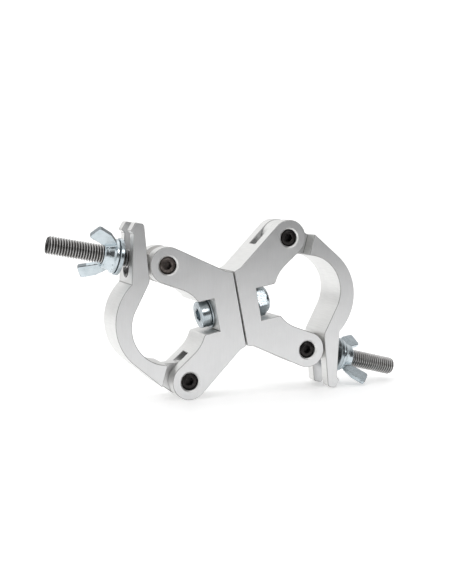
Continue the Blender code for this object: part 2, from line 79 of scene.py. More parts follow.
# ------------------------------------------------------------ arm
ARM_OUTER_RADIUS = 34.6
ARM_OUTER_CENTRE = (-0.5, 3.0)
ARM_OUTER_END = 219.0
ARM_BORE_TOP = 142.0
ARM_BORE_END = 256.2
SHOULDER_OUTER = (-12.3, -37.4)
TONGUE_RADIUS = 11.65
TONGUE_HALF = 4.7
TONGUE_INSET = 0.8
PRONG_KNEE = (-7.2, 31.4)
PRONG_TIP_INNER = (-3.8, 68.1)
PRONG_TIP_OUTER = (-9.2, 70.26)
KNEE_FILLET = 6.0
TIP_INNER_FILLET = 2.4
TIP_OUTER_FILLET = 1.2
LIP_CORNER = (-13.16, 65.7)
SEAT_TOP = (-11.6, 63.4)
SEAT_BOTTOM = (-19.2, 32.1)
PRONG_SLOT_RADIUS = 6.5
PRONG_SLOT_CENTRE_Z = 42.0
PRONG_CUTTER_LENGTH = 45.0
PRONG_CUTTER_HALF = 30.0
ARM_HOLE_CUTTER_HALF = 30.0

# ------------------------------------------------------------ pins: (radius, depth from the end)
PIN_INSET = 1.0
PIN_END = ((0.0, 0.0), (3.9, 0.0), (4.2, 0.08), (5.25, 0.95), (5.55, 1.3))
PIN_SOCKET_FLATS = 5.0
PIN_SOCKET_DEPTH = 4.0
PIN_SOCKET_TURN = 12.0
PIN_SOCKET_MOUTH = ((0.0, -0.55), (2.55, -0.55), (3.6, 0.5), (0.0, 0.5))

# ------------------------------------------------------------ eye bolts
THREAD_RADIUS = 6.0
THREAD_PITCH = 1.75
THREAD_DEPTH = 1.05
THREAD_CREST = 0.125  # in pitches: the crest's width, then that of crest and both flanks
THREAD_FLANK_END = 0.86
THREAD_START = 14.0
TIP_RADIUS = 5.0
BOLT_LENGTH = 75.83
BOLT_TILT = {"left": 21.4, "right": 25.0}
EYE_RADIUS = 11.65
EYE_HALF = 4.7
EYE_CHAMFER = 0.5
EYE_HOLE_CUTTER_HALF = 15.0
NECK_HALF_WIDTH = 5.2
NECK_TOP = 15.6

# ------------------------------------------------------------ washers and wing nuts
CLEARANCE_RADIUS = 6.3
WASHER_START = 28.4
WASHER_RADIUS = 12.0
WASHER_THICKNESS = 2.5
WASHER_CHAMFER = 0.35
NUT_START = WASHER_START + WASHER_THICKNESS + 0.3
NUT_HEIGHT = 9.2
HUB_PROFILE = (
    (6.25, 0.0), (10.7, 0.0), (11.0, 0.3), (11.0, 2.2), (9.9, 3.0), (9.0, 5.6),
    (8.5, 8.4), (7.8, NUT_HEIGHT), (6.6, NUT_HEIGHT), (6.25, NUT_HEIGHT - 0.5),
)
WING_TURN = {"left": -42.0, "right": -48.5}
WING_ROOT = THREAD_RADIUS + 1.2
WING_ROOT_INSET = 1.6
WING_UNDERSIDE = ((12.5, 3.0), (18.2, 8.2))
WING_TIP_OUTER = (22.35, 16.8)
WING_TIP_INNER = (13.8, 21.6)
WING_NOTCH = (8.6, 10.2)
WING_FILLET = 1.5
WING_HALF = 1.5
WING_RIM_START = 11.3
WING_RIM_NORMAL = 0.55  # a rim's normal leans less than this towards the wing's flat side
CAST_VOXEL = 0.3
CAST_SOFTENING = (0.5, 3)  # factor, rounds

# ------------------------------------------------------------ swivel bolt and its washers
SWIVEL_GAP = 0.3
SWIVEL_TIP_FROM_NUT_BASE = 9.0
SWIVEL_TIP_CHAMFER = 1.0
SWIVEL_HEAD_HEIGHT = 6.4
SWIVEL_HEAD_TOP = ((0.0, 0.0), (8.2, 0.0), (8.65, 0.15), (9.0, 0.6))
SWIVEL_HEAD_BASE = ((9.0, -0.3), (8.7, 0.0))
SWIVEL_SOCKET_FLATS = 8.0
SWIVEL_SOCKET_SPAN = (-3.0, 4.2)
SWIVEL_SOCKET_TURN = 18.0
SWIVEL_SOCKET_MOUTH = ((0.0, -0.4), (4.95, -0.4), (4.05, 0.5), (0.0, 0.5))
SWIVEL_WASHER_RADIUS = 10.4
SWIVEL_WASHER_CHAMFER = 0.15
HEAD_WASHER_THICKNESS = 1.0
NUT_WASHER_THICKNESS = 1.2
THRUST_WASHER_THICKNESS = 1.6
THRUST_WASHER_RADIUS = 12.0

# ------------------------------------------------------------ lock nut
LOCK_NUT_FLATS = 19.0
LOCK_NUT_TURN = 12.0
LOCK_NUT_HEIGHT = 9.3
LOCK_NUT_BASE = ((0.0, 0.0), (9.6, 0.0), (11.3, 0.9))
LOCK_NUT_SHOULDER = ((11.3, -0.9), (9.3, 0.0), (0.0, 0.0))
COLLAR_HEIGHT = 2.6
COLLAR_PROFILE = ((0.0, -1.0), (9.2, -1.0), (9.2, 0.9), (8.9, 1.7), (8.3, 2.3))
COLLAR_TOP_RADIUS = 7.7
INSERT_SEAT_RADIUS = 7.6
INSERT_SEAT_DEPTH = 2.4
INSERT_RADIUS = 7.3
INSERT_SPAN = (0.3, 2.1)
INSERT_CHAMFER = 0.25

# ------------------------------------------------------------ fineness of the meshes
ARC_STEP = 3.0
SLOT_STEP = 6.0
FILLET_STEP = 9.0
TURNED_SEGMENTS = 96
HOLE_SEGMENTS = 72
SOCKET_SEGMENTS = 48
THREAD_SEGMENTS = 56
THREAD_ROWS = 10  # in one pitch
CHAMFER_ANGLE = 32.0
SHARP_ANGLE = 28.0
THREAD_SHARP_ANGLE = 34.0
OVERSHOOT = 2.0  # of a cutter past the surface
SOCKET_OVERSHOOT = 1.0
WELD_METRES = 0.000002

# ------------------------------------------------------------ colours and other looks
ALUMINIUM_SIDES = (0.80, 0.80, 0.79, 1.0)
ALUMINIUM_ENDS = (0.775, 0.777, 0.78, 1.0)
ZINC_CLEAN = (0.62, 0.685, 0.72, 1.0)
ZINC_STAINED = (0.50, 0.565, 0.60, 1.0)
# Dark tone for the zinc's edges: painted shade.
ZINC_EDGE_PAINTED_SHADE = (0.22, 0.25, 0.27, 1.0)
ZINC_SHADED = (0.06, 0.065, 0.07, 1.0)
# Dark tone for the thread's valleys: painted shade.
THREAD_VALLEYS_PAINTED_SHADE = (0.09, 0.087, 0.085, 1.0)
THREAD_CRESTS = (0.55, 0.545, 0.54, 1.0)
THREAD_STAINS = (0.18, 0.168, 0.158, 1.0)
FORGED_LIGHT = (0.46, 0.445, 0.435, 1.0)
FORGED_DARK = (0.34, 0.32, 0.305, 1.0)
# Light tone for the forged eye's rims: painted highlight.
FORGED_RIMS_PAINTED_HIGHLIGHT = (0.62, 0.60, 0.58, 1.0)
OXIDE_BLACK = ((0.010, 0.009, 0.009, 1.0), (0.040, 0.036, 0.035, 1.0))
OXIDE_BROWN = ((0.060, 0.051, 0.045, 1.0), (0.160, 0.136, 0.125, 1.0))
# Light tone for the oxide's rims: painted highlight.
OXIDE_RIMS_PAINTED_HIGHLIGHT = (0.16, 0.15, 0.145, 1.0)
NYLON_TONES = ((0.70, 0.71, 0.68, 1.0), (0.84, 0.85, 0.82, 1.0))
PAPER_TONES = ((0.88, 0.88, 0.88, 1.0), (0.90, 0.90, 0.90, 1.0))
WHITE = (1.0, 1.0, 1.0, 1.0)
# Darkening of the aluminium chamfers: painted shade for the dark lines that reflections draw
# along the edges.
RIM_PAINTED_SHADE_FACTOR = 0.44
# Darkening of the left wing nut's rims: painted shade.
CAST_RIM_SHADE = 0.35
# Span of pointiness for the painted edge shade of the cast nuts.
CAST_CRESTS = (0.51, 0.56)
NOISE_ROUGHNESS = 0.55
EDGE_SAMPLES = 4
EDGE_GAIN = 6.0

# ------------------------------------------------------------ studio
LENS = 60.2457
SENSOR_WIDTH = 36.0
CLIP_METRES = (0.01, 50.0)
CAMERA_PLACE = (
    (0.93025941, 0.04082542, -0.36462500, -0.24294375),
    (-0.36689570, 0.09711887, -0.92517862, -0.60647537),
    (-0.00235884, 0.99443546, 0.10532441, 0.13728912),
    (0.0, 0.0, 0.0, 1.0),
)
FLOOR_BOX_METRES = ((-0.7, -0.9), (0.7, 5.0))
FLOOR_GLOW = 0.31
FLOOR_ROUGHNESS = 0.5
BACKDROP_STRENGTH = 1.1
# Each ramp of the world's light: from, to, strength there.
BACK_RAMP = (-0.45, 0.35, 0.03, 0.76)
TOP_RAMP = (0.70, 0.95, 0.0, 0.85)
LEFT_RAMP = (0.30, 0.80, 0.0, 0.80)
# Each sun: the direction it shines from, strength, width of its disc.
SUNS = {
    "key": ((-0.30, 0.15, 0.95), 0.98, 110.0),
    "fill": ((0.30, -0.75, 0.59), 0.54, 21.0),
}


# ------------------------------------------------------------ camera
def make_camera():
    data = bpy.data.cameras.new("camera")
    data.lens = LENS
    data.sensor_width = SENSOR_WIDTH
    data.clip_start, data.clip_end = CLIP_METRES
    camera = bpy.data.objects.new("camera", data)
    bpy.context.scene.collection.objects.link(camera)
    camera.matrix_world = Matrix(CAMERA_PLACE)
    bpy.context.scene.camera = camera


# ------------------------------------------------------------ frames
def assembly_matrix():
    swivel = JOINTS["swivel"]
    x = Vector(swivel["axis"]).normalized()
    y = Vector((0.0, 1.0, 0.0))
    z = x.cross(y)
    turn = Matrix((x, y, z)).transposed().to_4x4()
    return Matrix.Translation(Vector(swivel["pos_m"])) @ turn


def turn_y(degrees):
    return Matrix.Rotation(math.radians(degrees), 4, "Y")


def turn_z(degrees):
    return Matrix.Rotation(math.radians(degrees), 4, "Z")


def shift(x, y, z):
    return Matrix.Translation(Vector((x, y, z)) * MM)


ASSEMBLY = assembly_matrix()
HALF = {
    "left": ASSEMBLY @ shift(-CENTRE_TO_MATING, 0.0, 0.0),
    "right": ASSEMBLY @ shift(CENTRE_TO_MATING, 0.0, 0.0) @ turn_y(180.0),
}
SWIVEL = ASSEMBLY @ turn_y(90.0)
ALONG_TUBE = Matrix.Rotation(math.pi / 2.0, 4, "X")


def bolt_frame(side):
    return HALF[side] @ shift(PIN_X, 0.0, PIN_Z) @ turn_y(BOLT_TILT[side] - 90.0)


# ------------------------------------------------------------ outlines
def polar(centre, radius, degrees):
    angle = math.radians(degrees)
    return (centre[0] + radius * math.cos(angle), centre[1] + radius * math.sin(angle))


def arc(centre, radius, start, end, step=ARC_STEP):
    count = max(1, math.ceil(abs(end - start) / step))
    return [polar(centre, radius, start + (end - start) * i / count) for i in range(count + 1)]


def tangent_angle(centre, radius, point, side):
    """Where on a circle the tangent through a point touches it; side is 1 or -1."""
    dx = point[0] - centre[0]
    dz = point[1] - centre[1]
    spread = math.acos(radius / math.hypot(dx, dz))
    return math.degrees(math.atan2(dz, dx) + side * spread)


def rounded(before, corner, after, radius):
    """The fillet that replaces a corner between two of its neighbours."""
    corner = Vector(corner)
    back = (Vector(before) - corner).normalized()
    ahead = (Vector(after) - corner).normalized()
    half = back.angle(ahead) / 2.0
    centre = corner + (back + ahead).normalized() * radius / math.sin(half)
    first = corner + back * radius / math.tan(half) - centre
    last = corner + ahead * radius / math.tan(half) - centre
    start = math.degrees(math.atan2(first.y, first.x))
    turn = math.degrees(math.atan2(first.x * last.y - first.y * last.x, first.dot(last)))
    return arc(centre, radius, start, start + turn, FILLET_STEP)


def body_outline(side):
    bore = (0.0, 0.0)
    pin = (PIN_X, PIN_Z)
    reach = math.hypot(PIN_X, PIN_Z)
    cradle_end = math.degrees(
        math.atan2(PIN_Z, PIN_X) - math.acos((TUBE_RADIUS + CHEEK_RADIUS) / reach)
    )
    flank = tangent_angle(pin, CHEEK_RADIUS, LAND, 1)
    pocket_angle = math.degrees(math.asin(POCKET_HALF_HEIGHT / TUBE_RADIUS))
    mouth = polar(bore, TUBE_RADIUS, pocket_angle)
    near = polar(bore, TUBE_RADIUS, pocket_angle + FILLET_TANGENT_TURN)
    floor = (POCKET_FLOOR[side], POCKET_HALF_HEIGHT)
    upper = [(CENTRE_TO_MATING - SEAM_GAP / 2.0, MATING_HALF_HEIGHT), LAND]
    upper += arc(pin, CHEEK_RADIUS, flank, cradle_end + 180.0)
    upper += arc(bore, TUBE_RADIUS, cradle_end, pocket_angle + CRADLE_STOP_TURN)
    upper += rounded(near, mouth, floor, POCKET_FILLET)
    upper.append(floor)
    return upper + [(x, -z) for x, z in reversed(upper)]


def arm_outline():
    bore = (0.0, 0.0)
    inner_start = polar(bore, TUBE_RADIUS, ARM_BORE_TOP)
    outer_start = math.degrees(
        math.atan2(SEAT_BOTTOM[1] - ARM_OUTER_CENTRE[1], SEAT_BOTTOM[0] - ARM_OUTER_CENTRE[0])
    )
    points = arc(ARM_OUTER_CENTRE, ARM_OUTER_RADIUS, outer_start, ARM_OUTER_END)
    points.append(SHOULDER_OUTER)
    points += arc(bore, TUBE_RADIUS, ARM_BORE_END, ARM_BORE_TOP)
    points += rounded(inner_start, PRONG_KNEE, PRONG_TIP_INNER, KNEE_FILLET)
    points += rounded(PRONG_KNEE, PRONG_TIP_INNER, PRONG_TIP_OUTER, TIP_INNER_FILLET)
    points += rounded(PRONG_TIP_INNER, PRONG_TIP_OUTER, LIP_CORNER, TIP_OUTER_FILLET)
    points += [LIP_CORNER, SEAT_TOP]
    return points


def tongue_outline():
    """Round the hinge pin and up to the arm, which it enters by one millimetre."""
    pin = Vector((PIN_X, -PIN_Z))
    outer = Vector(SHOULDER_OUTER)
    inner = Vector(polar((0.0, 0.0), TUBE_RADIUS, ARM_BORE_END))
    edge = (inner - outer).normalized()
    inward = Vector((-edge.y, edge.x))
    outer += edge * TONGUE_INSET
    inner -= edge * TONGUE_INSET
    first = tangent_angle(pin, TONGUE_RADIUS, outer, 1)
    last = tangent_angle(pin, TONGUE_RADIUS, inner, -1)
    points = arc(pin, TONGUE_RADIUS, first, last + 360.0)
    points += [tuple(inner), tuple(inner + inward)]
    points += [tuple(outer + inward), tuple(outer)]
    return points


# ------------------------------------------------------------ mesh building
def add_prism(bm, outline, half_width):
    """A solid from an outline in x and z, as far to both sides along y."""
    near = [bm.verts.new((x * MM, -half_width * MM, z * MM)) for x, z in outline]
    far = [bm.verts.new((x * MM, half_width * MM, z * MM)) for x, z in outline]
    bm.faces.new(near)
    bm.faces.new(far)
    for i in range(len(outline)):
        j = (i + 1) % len(outline)
        bm.faces.new((near[i], near[j], far[j], far[i]))
    bmesh.ops.recalc_face_normals(bm, faces=bm.faces)


def add_turned(bm, profile, segments=TURNED_SEGMENTS):
    """A solid turned about z from (radius, height) points."""
    closed = profile[0][0] > 0.0
    count = len(profile)
    angles = [2.0 * math.pi * i / segments for i in range(segments)]
    rings = []
    for radius, height in profile:
        if radius == 0.0:
            rings.append([bm.verts.new((0.0, 0.0, height * MM))])
            continue
        rings.append([
            bm.verts.new((radius * MM * math.cos(a), radius * MM * math.sin(a), height * MM))
            for a in angles
        ])
    for k in range(count if closed else count - 1):
        low, high = rings[k], rings[(k + 1) % count]
        for i in range(segments):
            j = (i + 1) % segments
            corners = [
                low[i % len(low)], low[j % len(low)], high[j % len(high)], high[i % len(high)],
            ]
            unique = list(dict.fromkeys(corners))
            if len(unique) > 2:
                bm.faces.new(unique)
    bmesh.ops.recalc_face_normals(bm, faces=bm.faces)


def add_hexagon(bm, flats, start, end, turn):
    radius = flats / math.sqrt(3.0) * MM
    made = bmesh.ops.create_cone(
        bm, cap_ends=True, segments=6, radius1=radius, radius2=radius, depth=(end - start) * MM
    )
    placed = Matrix.Translation((0.0, 0.0, (start + end) / 2.0 * MM)) @ turn_z(turn)
    bmesh.ops.transform(bm, verts=made["verts"], matrix=placed)


def raised(profile, height):
    return [(radius, height + z) for radius, z in profile]


def mesh_object(name, bm, matrix=Matrix.Identity(4)):
    mesh = bpy.data.meshes.new(name)
    bm.to_mesh(mesh)
    bm.free()
    obj = bpy.data.objects.new(name, mesh)
    bpy.context.scene.collection.objects.link(obj)
    obj.matrix_world = matrix
    return obj


def bake(obj):
    """Replaces an object's mesh by the result of its modifiers."""
    bpy.context.view_layer.update()
    graph = bpy.context.evaluated_depsgraph_get()
    mesh = bpy.data.meshes.new_from_object(obj.evaluated_get(graph))
    obj.modifiers.clear()
    obj.data = mesh


def boolean(obj, bm, operation="DIFFERENCE"):
    tool = mesh_object(obj.name + "_tool", bm, obj.matrix_world)
    modifier = obj.modifiers.new("boolean", "BOOLEAN")
    modifier.operation = operation
    modifier.solver = "EXACT"
    modifier.object = tool
    bake(obj)
    bpy.data.objects.remove(tool, do_unlink=True)


def cut_turned(obj, profile, segments, matrix=Matrix.Identity(4)):
    bm = bmesh.new()
    add_turned(bm, profile, segments)
    bmesh.ops.transform(bm, verts=bm.verts, matrix=matrix)
    boolean(obj, bm)


def cut_hexagon(obj, flats, start, end, turn):
    bm = bmesh.new()
    add_hexagon(bm, flats, start, end, turn)
    boolean(obj, bm)


def bevel(obj, width):
    """Chamfers the sharp edges; the new faces take the object's last material, which on the
    bodies and arms is the darker aluminium that carries painted shade.
    """
    modifier = obj.modifiers.new("bevel", "BEVEL")
    modifier.material = len(obj.data.materials) - 1
    modifier.width = width * MM
    modifier.segments = 1
    modifier.limit_method = "ANGLE"
    modifier.angle_limit = math.radians(CHAMFER_ANGLE)
    modifier.use_clamp_overlap = False
    modifier.loop_slide = False
    modifier.miter_outer = "MITER_SHARP"
    bake(obj)


def smooth(obj, angle=SHARP_ANGLE):
    obj.data.shade_smooth()
    obj.data.set_sharp_from_angle(angle=math.radians(angle))


def settle(obj):
    """Moves an object's place into its mesh; own_place keeps where each point was before."""
    own = obj.data.attributes.new("own_place", "FLOAT_VECTOR", "POINT")
    values = np.empty(3 * len(obj.data.vertices), np.float32)
    obj.data.vertices.foreach_get("co", values)
    own.data.foreach_set("vector", values)
    obj.data.transform(obj.matrix_world)
    obj.matrix_world = Matrix.Identity(4)


def dress(obj, *materials):
    for material in materials:
        obj.data.materials.append(material)


def place(obj, body, node, material=None):
    settle(obj)
    if material:
        dress(obj, material)
    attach(obj, body)
    if node:
        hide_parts(node)


# ------------------------------------------------------------ materials
class Nodes:
    """Short calls for building one material's node tree."""

    def __init__(self, name):
        self.material = bpy.data.materials.new(name)
        self.material.use_nodes = True
        self.tree = self.material.node_tree
        self.shader = self.tree.nodes["Principled BSDF"]

    def add(self, kind, inputs=None, **settings):
        made = self.tree.nodes.new(kind)
        for key, value in settings.items():
            setattr(made, key, value)
        for key, value in (inputs or {}).items():
            self.set(made.inputs[key], value)
        return made

    def set(self, socket, value):
        if isinstance(value, bpy.types.NodeSocket):
            self.tree.links.new(value, socket)
        else:
            socket.default_value = value

    def maths(self, operation, a, b=0.0, clamp=False):
        made = self.add("ShaderNodeMath", {0: a, 1: b}, operation=operation, use_clamp=clamp)
        return made.outputs[0]

    def coordinates(self, scale):
        where = self.add("ShaderNodeTexCoord").outputs["Object"]
        return self.add("ShaderNodeMapping", {"Vector": where, "Scale": scale}).outputs[0]

    def noise(self, scale, detail, stretch=(1.0, 1.0, 1.0)):
        made = self.add("ShaderNodeTexNoise", {
            "Vector": self.coordinates(stretch),
            "Scale": scale, "Detail": detail, "Roughness": NOISE_ROUGHNESS,
        })
        return made.outputs["Fac"]

    def span(self, value, low, high, clamp=True):
        """Spreads 0 to 1 over a range."""
        inputs = {"Value": value, "To Min": low, "To Max": high}
        return self.add("ShaderNodeMapRange", inputs, clamp=clamp).outputs["Result"]

    def ramp(self, value, start, end, low=0.0, high=1.0):
        """Spreads start to end over a range, and holds its ends."""
        made = self.add("ShaderNodeMapRange", {
            "Value": value, "From Min": start, "From Max": end, "To Min": low, "To Max": high,
        })
        return made.outputs["Result"]

    def mix(self, factor, a, b):
        made = self.add("ShaderNodeMix", data_type="RGBA")
        self.set(made.inputs["Factor"], factor)
        self.set(made.inputs[6], a)
        self.set(made.inputs[7], b)
        return made.outputs[2]

    def blend(self, factor, a, b):
        made = self.add("ShaderNodeMix", data_type="FLOAT")
        self.set(made.inputs[0], factor)
        self.set(made.inputs[2], a)
        self.set(made.inputs[3], b)
        return made.outputs[0]

    def edge_mask(self, radius):
        """High where the surface turns a corner within this many metres."""
        soft = self.add("ShaderNodeBevel", {"Radius": radius}, samples=EDGE_SAMPLES).outputs[0]
        true = self.add("ShaderNodeNewGeometry").outputs["Normal"]
        dot = self.add("ShaderNodeVectorMath", {0: soft, 1: true}, operation="DOT_PRODUCT")
        away = self.maths("SUBTRACT", 1.0, dot.outputs["Value"])
        return self.maths("MULTIPLY", away, EDGE_GAIN, clamp=True)

    def bump(self, height, distance, strength, normal=None):
        inputs = {"Height": height, "Distance": distance, "Strength": strength}
        if normal is not None:
            inputs["Normal"] = normal
        return self.add("ShaderNodeBump", inputs).outputs["Normal"]

    def finish(self, colour, roughness, metallic, normal=None, **extra):
        self.set(self.shader.inputs["Base Color"], colour)
        self.set(self.shader.inputs["Roughness"], roughness)
        self.set(self.shader.inputs["Metallic"], metallic)
        if normal is not None:
            self.set(self.shader.inputs["Normal"], normal)
        for key, value in extra.items():
            self.set(self.shader.inputs[key.replace("_", " ")], value)
        return self.material


def aluminium(name, shade=1.0):
    """Satin aluminium: sawn and tumbled end faces, drawn sides with lines along the tube."""
    n = Nodes(name)
    where = n.add("ShaderNodeTexCoord")
    parts = n.add("ShaderNodeSeparateXYZ", {0: where.outputs["Normal"]})
    facing = n.maths("ABSOLUTE", parts.outputs["Y"])
    end_face = n.ramp(facing, start=0.8, end=0.95)
    grain = n.noise(scale=3200.0, detail=4.0)
    drawn = n.noise(scale=2600.0, detail=3.0, stretch=(1.0, 0.03, 1.0))
    sawn = n.noise(scale=1500.0, detail=3.0, stretch=(1.0, 1.0, 0.08))
    cloud = n.noise(scale=70.0, detail=3.0)
    fine = n.blend(end_face, drawn, n.blend(0.35, grain, sawn))
    # A shade below 1 darkens the tone: painted shade, used on the chamfers.
    tone = n.span(cloud, 0.92 * shade, 1.06 * shade, clamp=False)
    tone = n.maths("MULTIPLY", tone, n.span(fine, 0.88, 1.12, clamp=False))
    base = n.mix(end_face, ALUMINIUM_SIDES, ALUMINIUM_ENDS)
    scaled = n.add("ShaderNodeVectorMath", {0: base}, operation="SCALE")
    n.set(scaled.inputs["Scale"], tone)
    rough = n.blend(end_face, n.span(fine, 0.36, 0.54), n.span(fine, 0.25, 0.39))
    rough = n.maths("ADD", rough, n.span(cloud, -0.04, 0.04, clamp=False))
    rough = n.maths("MULTIPLY", rough, 0.4 + 0.6 * shade)
    normal = n.bump(fine, distance=0.00004, strength=0.35)
    return n.finish(scaled.outputs[0], rough, metallic=1.0, normal=normal)


def zinc(name, waves=420.0, ripple=0.00022, shade=1.0, crests=(0.53, 0.60)):
    """Bright blue-white zinc plate over a slightly uneven surface, painted darker along its edges
    as painted shade.

    crests is the span of pointiness over which an edge darkens with painted shade; a shade below
    1 darkens the whole plate, also as painted shade."""
    n = Nodes(name)
    wave = n.noise(scale=waves, detail=2.0)
    speck = n.noise(scale=2600.0, detail=3.0)
    stain = n.noise(scale=120.0, detail=4.0)
    shape = n.add("ShaderNodeNewGeometry").outputs["Pointiness"]
    edge = n.ramp(shape, *crests)
    tint = n.mix(n.ramp(stain, start=0.42, end=0.66), ZINC_CLEAN, ZINC_STAINED)
    # Darker where the surface is pointy: painted shade along the edges.
    tint = n.mix(n.maths("MULTIPLY", edge, 0.75), tint, ZINC_EDGE_PAINTED_SHADE)
    # A shade below 1 darkens the plate towards ZINC_SHADED: painted shade.
    tint = n.mix(1.0 - shade, tint, ZINC_SHADED)
    rough = n.maths("ADD", n.span(speck, 0.16, 0.30), n.span(stain, -0.03, 0.06, clamp=False))
    normal = n.bump(wave, distance=ripple, strength=0.5)
    normal = n.bump(speck, distance=0.00003, strength=0.3, normal=normal)
    return n.finish(tint, rough, metallic=1.0, normal=normal)


def thread_steel(name):
    """Plain oiled steel, painted dark in the thread's valleys as painted shade, lighter and
    smoother on its crests.
    """
    n = Nodes(name)
    where = n.add("ShaderNodeAttribute", attribute_name="own_place")
    parts = n.add("ShaderNodeSeparateXYZ", {0: where.outputs["Vector"]})
    x_squared = n.maths("POWER", parts.outputs["X"], 2.0)
    y_squared = n.maths("POWER", parts.outputs["Y"], 2.0)
    radius = n.maths("SQRT", n.maths("ADD", x_squared, y_squared))
    crest = n.ramp(radius, start=0.0050, end=0.0059)
    grain = n.noise(scale=2400.0, detail=4.0)
    stain = n.noise(scale=160.0, detail=4.0)
    # Dark valleys, light crests: painted shade in the thread's grooves.
    colour = n.mix(crest, THREAD_VALLEYS_PAINTED_SHADE, THREAD_CRESTS)
    colour = n.mix(n.ramp(stain, start=0.45, end=0.75, high=0.45), colour, THREAD_STAINS)
    rough = n.maths("ADD", n.blend(crest, 0.42, 0.19), n.span(grain, -0.05, 0.07, clamp=False))
    normal = n.bump(grain, distance=0.00003, strength=0.4)
    return n.finish(colour, rough, metallic=1.0, normal=normal)


def forged_steel(name):
    """The flat sides of a drop-forged eye: grey, a little cloudy, painted brighter on its rims as
    painted highlight.
    """
    n = Nodes(name)
    grain = n.noise(scale=2200.0, detail=4.0)
    cloud = n.noise(scale=260.0, detail=3.0)
    edge = n.edge_mask(0.0004)
    colour = n.mix(n.ramp(cloud, start=0.35, end=0.7), FORGED_LIGHT, FORGED_DARK)
    # Lighter along the rims: painted highlight.
    colour = n.mix(n.maths("MULTIPLY", edge, 0.5), colour, FORGED_RIMS_PAINTED_HIGHLIGHT)
    rough = n.span(grain, 0.28, 0.46)
    normal = n.bump(grain, distance=0.00004, strength=0.5)
    return n.finish(colour, rough, metallic=1.0, normal=normal)


def oxide(name, tones):
    """Black or brown oxide on steel, with a little oil sheen, and rims painted lighter as painted
    highlight.
    """
    n = Nodes(name)
    grain = n.noise(scale=2600.0, detail=4.0)
    patch = n.noise(scale=380.0, detail=3.0)
    edge = n.edge_mask(0.0003)
    colour = n.mix(n.ramp(patch, start=0.35, end=0.7), *tones)
    # Lighter along the rims: painted highlight.
    colour = n.mix(n.maths("MULTIPLY", edge, 0.35), colour, OXIDE_RIMS_PAINTED_HIGHLIGHT)
    rough = n.span(grain, 0.26, 0.48)
    normal = n.bump(grain, distance=0.00003, strength=0.5)
    return n.finish(colour, rough, metallic=0.75, normal=normal)


def nylon(name):
    n = Nodes(name)
    grain = n.noise(scale=1800.0, detail=3.0)
    colour = n.mix(grain, *NYLON_TONES)
    rough = n.span(grain, 0.42, 0.6)
    normal = n.bump(grain, distance=0.00003, strength=0.4)
    return n.finish(colour, rough, metallic=0.0, normal=normal)


# ------------------------------------------------------------ half clamp
def cut_fork(obj):
    """One slot at each end of the body, for the arm's tongue and the bolt's eye."""
    length = 2.0 * CHEEK_RADIUS + SLOT_END_FROM_PIN
    size = Matrix.Diagonal((length * MM, FORK_SLOT * MM, 2.0 * length * MM, 1.0))
    middle = shift(SLOT_END_FROM_PIN - length / 2.0, 0.0, 0.0)
    bm = bmesh.new()
    for sign in (1.0, -1.0):
        made = bmesh.ops.create_cube(bm, size=1.0)
        pin = shift(PIN_X, 0.0, sign * PIN_Z)
        placed = pin @ turn_y(sign * SLOT_END_ANGLE) @ middle @ size
        bmesh.ops.transform(bm, verts=made["verts"], matrix=placed)
    boolean(obj, bm)


def cut_pin_holes(obj):
    face = WIDTH / 2.0
    wide = PIN_HOLE_RADIUS + PIN_HOLE_CHAMFER + OVERSHOOT
    profile = [
        (0.0, -face - OVERSHOOT), (wide, -face - OVERSHOOT),
        (PIN_HOLE_RADIUS, -face + PIN_HOLE_CHAMFER), (PIN_HOLE_RADIUS, face - PIN_HOLE_CHAMFER),
        (wide, face + OVERSHOOT), (0.0, face + OVERSHOOT),
    ]
    for z in (PIN_Z, -PIN_Z):
        cut_turned(obj, profile, HOLE_SEGMENTS, shift(PIN_X, 0.0, z) @ ALONG_TUBE)


def cut_swivel_bore(obj):
    """The swivel bolt's hole and the shallow recess for the thrust washer."""
    mating = CENTRE_TO_MATING - SEAM_GAP / 2.0
    recess = mating - RECESS_DEPTH
    cut_turned(obj, [
        (0.0, SWIVEL_BORE_START), (CLEARANCE_RADIUS, SWIVEL_BORE_START),
        (CLEARANCE_RADIUS, recess), (RECESS_RADIUS, recess),
        (RECESS_RADIUS, mating + OVERSHOOT), (0.0, mating + OVERSHOOT),
    ], HOLE_SEGMENTS, turn_y(90.0))


def cut_plain_hole(obj, half, matrix):
    cut_turned(obj, [
        (0.0, -half), (PIN_HOLE_RADIUS, -half), (PIN_HOLE_RADIUS, half), (0.0, half),
    ], HOLE_SEGMENTS, matrix)


def build_body(side, *materials):
    bm = bmesh.new()
    add_prism(bm, body_outline(side), WIDTH / 2.0)
    obj = mesh_object(side + "_body_fine", bm)
    dress(obj, *materials)
    cut_fork(obj)
    cut_swivel_bore(obj)
    bevel(obj, EDGE_CHAMFER)
    cut_pin_holes(obj)
    smooth(obj)
    obj.data.transform(HALF[side])
    place(obj, side + "_clamp", side + "_body")


def slot_cutter():
    """The round-ended slot between the prongs, square to the washer's seat."""
    outline = arc((0.0, 0.0), PRONG_SLOT_RADIUS, 180.0, 360.0, SLOT_STEP)
    outline += [(sign * PRONG_SLOT_RADIUS, PRONG_CUTTER_LENGTH) for sign in (1.0, -1.0)]
    bm = bmesh.new()
    add_prism(bm, outline, PRONG_CUTTER_HALF)
    rise = SEAT_TOP[1] - SEAT_BOTTOM[1]
    lean = math.degrees(math.atan2(SEAT_TOP[0] - SEAT_BOTTOM[0], rise))
    up_seat = PRONG_SLOT_CENTRE_Z - SEAT_BOTTOM[1]
    on_seat = SEAT_BOTTOM[0] + up_seat * math.tan(math.radians(lean))
    placed = shift(on_seat, 0.0, PRONG_SLOT_CENTRE_Z) @ turn_y(lean) @ turn_z(90.0)
    bmesh.ops.transform(bm, verts=bm.verts, matrix=placed)
    return bm


